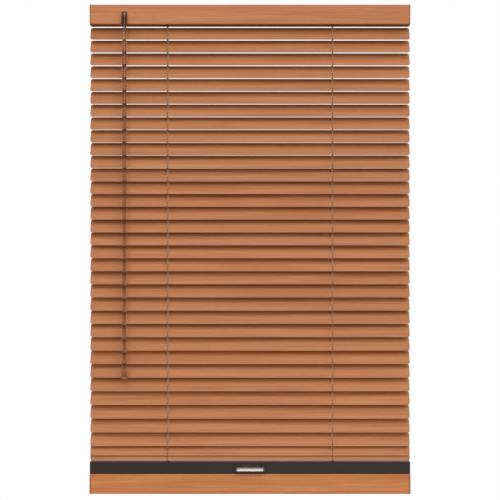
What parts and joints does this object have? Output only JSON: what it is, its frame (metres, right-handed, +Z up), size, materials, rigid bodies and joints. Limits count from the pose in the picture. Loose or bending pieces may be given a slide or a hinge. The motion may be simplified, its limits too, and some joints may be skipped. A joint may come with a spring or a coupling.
{
  "type": "venetian blind",
  "caption": "Cordless wood-grain venetian blind: tilt wand, narrow crowned slats on string ladders, and a deep bottom rail with a release handle.",
  "frame": {"origin": "middle of the ceiling fixing plane, on top of the two brackets", "axes": "+Z up, along the drop; +X to the right as seen from the room; -Y into the room"},
  "size_m": [0.5254, 0.0384, 0.8033],
  "materials": {
    "woodgrain_enamel": "printed wood grain under satin lacquer",
    "slat_enamel": "printed wood grain under satin lacquer",
    "brown_plastic": "moulded, fine texture",
    "dark_plastic": "moulded, fine texture",
    "white_plastic": "moulded, plain",
    "zinc_steel": "zinc plated",
    "clear_acrylic": "clear, extruded",
    "ladder_cord": "braided polyester",
    "lift_cord": "braided polyester",
    "satin_nickel": "satin"
  },
  "bodies": {
    "head": {"headrail": "woodgrain_enamel", "headrail_cap_left": "brown_plastic", "headrail_cap_right": "brown_plastic", "bracket_left": "zinc_steel", "bracket_right": "zinc_steel", "tilter_housing": "white_plastic", "lift_cord_left": "lift_cord", "lift_cord_right": "lift_cord"},
    "tilt_shaft": {"tilt_rod": "zinc_steel", "tilter_gear": "white_plastic", "ladder_drum_left": "white_plastic", "ladder_drum_right": "white_plastic"},
    "worm": {"tilter_worm": "white_plastic"},
    "wand_hanger": {"wand_sleeve": "clear_acrylic"},
    "wand": {"wand": "clear_acrylic", "wand_grip": "clear_acrylic"},
    "slat_01": {"slat_01": "slat_enamel"},
    "slat_02": {"slat_02": "slat_enamel"},
    "slat_03": {"slat_03": "slat_enamel"},
    "slat_04": {"slat_04": "slat_enamel"},
    "slat_05": {"slat_05": "slat_enamel"},
    "slat_06": {"slat_06": "slat_enamel"},
    "slat_07": {"slat_07": "slat_enamel"},
    "slat_08": {"slat_08": "slat_enamel"},
    "slat_09": {"slat_09": "slat_enamel"},
    "slat_10": {"slat_10": "slat_enamel"},
    "slat_11": {"slat_11": "slat_enamel"},
    "slat_12": {"slat_12": "slat_enamel"},
    "slat_13": {"slat_13": "slat_enamel"},
    "slat_14": {"slat_14": "slat_enamel"},
    "slat_15": {"slat_15": "slat_enamel"},
    "slat_16": {"slat_16": "slat_enamel"},
    "slat_17": {"slat_17": "slat_enamel"},
    "slat_18": {"slat_18": "slat_enamel"},
    "slat_19": {"slat_19": "slat_enamel"},
    "slat_20": {"slat_20": "slat_enamel"},
    "slat_21": {"slat_21": "slat_enamel"},
    "slat_22": {"slat_22": "slat_enamel"},
    "slat_23": {"slat_23": "slat_enamel"},
    "slat_24": {"slat_24": "slat_enamel"},
    "slat_25": {"slat_25": "slat_enamel"},
    "slat_26": {"slat_26": "slat_enamel"},
    "slat_27": {"slat_27": "slat_enamel"},
    "slat_28": {"slat_28": "slat_enamel"},
    "slat_29": {"slat_29": "slat_enamel"},
    "slat_30": {"slat_30": "slat_enamel"},
    "slat_31": {"slat_31": "slat_enamel"},
    "ladder_front": {"ladder_front_left": "ladder_cord", "ladder_front_right": "ladder_cord"},
    "ladder_back": {"ladder_back_left": "ladder_cord", "ladder_back_right": "ladder_cord"},
    "carrier_32": {"ladder_rung_32": "ladder_cord"},
    "slat_32": {"slat_32": "slat_enamel"},
    "carrier_33": {"ladder_rung_33": "ladder_cord"},
    "slat_33": {"slat_33": "slat_enamel"},
    "bottom_rail": {"bottom_rail": "woodgrain_enamel", "bottom_rail_cover": "dark_plastic", "spring_motor": "white_plastic"},
    "slat_34": {"slat_34": "slat_enamel"},
    "release_handle": {"release_handle": "satin_nickel"}
  },
  "joints": [
    {"name": "tilt", "type": "hinge", "parent": "head", "child": "slat_01", "pos_m": [0, 0, -0.0469], "axis": [1, 0, 0], "range_deg": [-118.2, 0]},
    {"name": "shaft_turn", "type": "hinge", "parent": "head", "child": "tilt_shaft", "pos_m": [0, 0, -0.0175], "axis": [1, 0, 0], "range_deg": [-118.2, 0]},
    {"name": "worm_spin", "type": "hinge", "parent": "head", "child": "worm", "pos_m": [-0.2051, -0.0207, -0.021], "axis": [0, -0.8536, -0.521], "range_deg": [-1418.4, 0]},
    {"name": "wand_swing", "type": "hinge", "parent": "head", "child": "wand_hanger", "pos_m": [-0.2051, -0.0207, -0.021], "axis": [1, 0, 0], "range_deg": [-75, 0]},
    {"name": "wand_spin", "type": "hinge", "parent": "wand_hanger", "child": "wand", "pos_m": [-0.2051, -0.0207, -0.3], "axis": [0, 0, -1], "range_deg": [-1418.4, 0]},
    {"name": "slat_02_tilt", "type": "hinge", "parent": "head", "child": "slat_02", "pos_m": [0, 0, -0.06803], "axis": [1, 0, 0], "range_deg": [-118.2, 0]},
    {"name": "slat_03_tilt", "type": "hinge", "parent": "head", "child": "slat_03", "pos_m": [0, 0, -0.08915], "axis": [1, 0, 0], "range_deg": [-118.2, 0]},
    {"name": "slat_04_tilt", "type": "hinge", "parent": "head", "child": "slat_04", "pos_m": [0, 0, -0.11027], "axis": [1, 0, 0], "range_deg": [-118.2, 0]},
    {"name": "slat_05_tilt", "type": "hinge", "parent": "head", "child": "slat_05", "pos_m": [0, 0, -0.1314], "axis": [1, 0, 0], "range_deg": [-118.2, 0]},
    {"name": "slat_06_tilt", "type": "hinge", "parent": "head", "child": "slat_06", "pos_m": [0, 0, -0.15252], "axis": [1, 0, 0], "range_deg": [-118.2, 0]},
    {"name": "slat_07_tilt", "type": "hinge", "parent": "head", "child": "slat_07", "pos_m": [0, 0, -0.17365], "axis": [1, 0, 0], "range_deg": [-118.2, 0]},
    {"name": "slat_08_tilt", "type": "hinge", "parent": "head", "child": "slat_08", "pos_m": [0, 0, -0.19478], "axis": [1, 0, 0], "range_deg": [-118.2, 0]},
    {"name": "slat_09_tilt", "type": "hinge", "parent": "head", "child": "slat_09", "pos_m": [0, 0, -0.2159], "axis": [1, 0, 0], "range_deg": [-118.2, 0]},
    {"name": "slat_10_tilt", "type": "hinge", "parent": "head", "child": "slat_10", "pos_m": [0, 0, -0.23703], "axis": [1, 0, 0], "range_deg": [-118.2, 0]},
    {"name": "slat_11_tilt", "type": "hinge", "parent": "head", "child": "slat_11", "pos_m": [0, 0, -0.25815], "axis": [1, 0, 0], "range_deg": [-118.2, 0]},
    {"name": "slat_12_tilt", "type": "hinge", "parent": "head", "child": "slat_12", "pos_m": [0, 0, -0.27927], "axis": [1, 0, 0], "range_deg": [-118.2, 0]},
    {"name": "slat_13_tilt", "type": "hinge", "parent": "head", "child": "slat_13", "pos_m": [0, 0, -0.3004], "axis": [1, 0, 0], "range_deg": [-118.2, 0]},
    {"name": "slat_14_tilt", "type": "hinge", "parent": "head", "child": "slat_14", "pos_m": [0, 0, -0.32153], "axis": [1, 0, 0], "range_deg": [-118.2, 0]},
    {"name": "slat_15_tilt", "type": "hinge", "parent": "head", "child": "slat_15", "pos_m": [0, 0, -0.34265], "axis": [1, 0, 0], "range_deg": [-118.2, 0]},
    {"name": "slat_16_tilt", "type": "hinge", "parent": "head", "child": "slat_16", "pos_m": [0, 0, -0.36378], "axis": [1, 0, 0], "range_deg": [-118.2, 0]},
    {"name": "slat_17_tilt", "type": "hinge", "parent": "head", "child": "slat_17", "pos_m": [0, 0, -0.3849], "axis": [1, 0, 0], "range_deg": [-118.2, 0]},
    {"name": "slat_18_tilt", "type": "hinge", "parent": "head", "child": "slat_18", "pos_m": [0, 0, -0.40614], "axis": [1, 0, 0], "range_deg": [-118.2, 0]},
    {"name": "slat_19_tilt", "type": "hinge", "parent": "head", "child": "slat_19", "pos_m": [0, 0, -0.42749], "axis": [1, 0, 0], "range_deg": [-118.2, 0]},
    {"name": "slat_20_tilt", "type": "hinge", "parent": "head", "child": "slat_20", "pos_m": [0, 0, -0.44895], "axis": [1, 0, 0], "range_deg": [-118.2, 0]},
    {"name": "slat_21_tilt", "type": "hinge", "parent": "head", "child": "slat_21", "pos_m": [0, 0, -0.47052], "axis": [1, 0, 0], "range_deg": [-118.2, 0]},
    {"name": "slat_22_tilt", "type": "hinge", "parent": "head", "child": "slat_22", "pos_m": [0, 0, -0.49221], "axis": [1, 0, 0], "range_deg": [-118.2, 0]},
    {"name": "slat_23_tilt", "type": "hinge", "parent": "head", "child": "slat_23", "pos_m": [0, 0, -0.514], "axis": [1, 0, 0], "range_deg": [-118.2, 0]},
    {"name": "slat_24_tilt", "type": "hinge", "parent": "head", "child": "slat_24", "pos_m": [0, 0, -0.53591], "axis": [1, 0, 0], "range_deg": [-118.2, 0]},
    {"name": "slat_25_tilt", "type": "hinge", "parent": "head", "child": "slat_25", "pos_m": [0, 0, -0.55793], "axis": [1, 0, 0], "range_deg": [-118.2, 0]},
    {"name": "slat_26_tilt", "type": "hinge", "parent": "head", "child": "slat_26", "pos_m": [0, 0, -0.58007], "axis": [1, 0, 0], "range_deg": [-118.2, 0]},
    {"name": "slat_27_tilt", "type": "hinge", "parent": "head", "child": "slat_27", "pos_m": [0, 0, -0.60231], "axis": [1, 0, 0], "range_deg": [-118.2, 0]},
    {"name": "slat_28_tilt", "type": "hinge", "parent": "head", "child": "slat_28", "pos_m": [0, 0, -0.62467], "axis": [1, 0, 0], "range_deg": [-118.2, 0]},
    {"name": "slat_29_tilt", "type": "hinge", "parent": "head", "child": "slat_29", "pos_m": [0, 0, -0.64714], "axis": [1, 0, 0], "range_deg": [-118.2, 0]},
    {"name": "slat_30_tilt", "type": "hinge", "parent": "head", "child": "slat_30", "pos_m": [0, 0, -0.66972], "axis": [1, 0, 0], "range_deg": [-118.2, 0]},
    {"name": "slat_31_tilt", "type": "hinge", "parent": "head", "child": "slat_31", "pos_m": [0, 0, -0.69241], "axis": [1, 0, 0], "range_deg": [-118.2, 0]},
    {"name": "slat_32_tilt", "type": "hinge", "parent": "carrier_32", "child": "slat_32", "pos_m": [0, 0, -0.71501], "axis": [1, 0, 0], "range_deg": [-118.2, 0], "deforming": ["ladder_rung_32"]},
    {"name": "slat_33_tilt", "type": "hinge", "parent": "carrier_33", "child": "slat_33", "pos_m": [0, 0, -0.73041], "axis": [1, 0, 0], "range_deg": [-118.2, 0], "deforming": ["ladder_rung_33"]},
    {"name": "slat_34_tilt", "type": "hinge", "parent": "bottom_rail", "child": "slat_34", "pos_m": [0, 0, -0.73871], "axis": [1, 0, 0], "range_deg": [-118.2, 0]},
    {"name": "ladder_front_carry", "type": "hinge", "parent": "slat_01", "child": "ladder_front", "pos_m": [0, -0.00642, -0.05763], "axis": [1, 0, 0], "range_deg": [0, 118.2]},
    {"name": "ladder_back_carry", "type": "hinge", "parent": "slat_01", "child": "ladder_back", "pos_m": [0, 0.00642, -0.03617], "axis": [1, 0, 0], "range_deg": [0, 118.2]},
    {"name": "lift", "type": "slide", "parent": "head", "child": "bottom_rail", "axis": [0, 0, 1], "range_m": [0, 0.0372], "deforming": ["ladder_front_left", "ladder_front_right", "ladder_back_left", "ladder_back_right", "lift_cord_left", "lift_cord_right"]},
    {"name": "slat_32_lift", "type": "slide", "parent": "head", "child": "carrier_32", "axis": [0, 0, 1], "range_m": [0, 0.01956]},
    {"name": "slat_33_lift", "type": "slide", "parent": "head", "child": "carrier_33", "axis": [0, 0, 1], "range_m": [0, 0.03192]},
    {"name": "handle_push", "type": "slide", "parent": "bottom_rail", "child": "release_handle", "axis": [0, 0, 1], "range_m": [0, 0.003], "stiffness_N_per_m": 250, "springref_m": -0.001}
  ],
  "couplings": [
    {"joint": "shaft_turn", "follows": "tilt", "ratio": 1},
    {"joint": "worm_spin", "follows": "tilt", "ratio": 12},
    {"joint": "wand_spin", "follows": "tilt", "ratio": 12},
    {"joint": "slat_02_tilt", "follows": "tilt", "ratio": 1},
    {"joint": "slat_03_tilt", "follows": "tilt", "ratio": 1},
    {"joint": "slat_04_tilt", "follows": "tilt", "ratio": 1},
    {"joint": "slat_05_tilt", "follows": "tilt", "ratio": 1},
    {"joint": "slat_06_tilt", "follows": "tilt", "ratio": 1},
    {"joint": "slat_07_tilt", "follows": "tilt", "ratio": 1},
    {"joint": "slat_08_tilt", "follows": "tilt", "ratio": 1},
    {"joint": "slat_09_tilt", "follows": "tilt", "ratio": 1},
    {"joint": "slat_10_tilt", "follows": "tilt", "ratio": 1},
    {"joint": "slat_11_tilt", "follows": "tilt", "ratio": 1},
    {"joint": "slat_12_tilt", "follows": "tilt", "ratio": 1},
    {"joint": "slat_13_tilt", "follows": "tilt", "ratio": 1},
    {"joint": "slat_14_tilt", "follows": "tilt", "ratio": 1},
    {"joint": "slat_15_tilt", "follows": "tilt", "ratio": 1},
    {"joint": "slat_16_tilt", "follows": "tilt", "ratio": 1},
    {"joint": "slat_17_tilt", "follows": "tilt", "ratio": 1},
    {"joint": "slat_18_tilt", "follows": "tilt", "ratio": 1},
    {"joint": "slat_19_tilt", "follows": "tilt", "ratio": 1},
    {"joint": "slat_20_tilt", "follows": "tilt", "ratio": 1},
    {"joint": "slat_21_tilt", "follows": "tilt", "ratio": 1},
    {"joint": "slat_22_tilt", "follows": "tilt", "ratio": 1},
    {"joint": "slat_23_tilt", "follows": "tilt", "ratio": 1},
    {"joint": "slat_24_tilt", "follows": "tilt", "ratio": 1},
    {"joint": "slat_25_tilt", "follows": "tilt", "ratio": 1},
    {"joint": "slat_26_tilt", "follows": "tilt", "ratio": 1},
    {"joint": "slat_27_tilt", "follows": "tilt", "ratio": 1},
    {"joint": "slat_28_tilt", "follows": "tilt", "ratio": 1},
    {"joint": "slat_29_tilt", "follows": "tilt", "ratio": 1},
    {"joint": "slat_30_tilt", "follows": "tilt", "ratio": 1},
    {"joint": "slat_31_tilt", "follows": "tilt", "ratio": 1},
    {"joint": "slat_32_tilt", "follows": "tilt", "ratio": 1},
    {"joint": "slat_33_tilt", "follows": "tilt", "ratio": 1},
    {"joint": "slat_34_tilt", "follows": "tilt", "ratio": 1},
    {"joint": "ladder_front_carry", "follows": "tilt", "ratio": -1},
    {"joint": "ladder_back_carry", "follows": "tilt", "ratio": -1},
    {"joint": "slat_32_lift", "follows": "lift", "ratio": 0.5255},
    {"joint": "slat_33_lift", "follows": "lift", "ratio": 0.8579}
  ]
}
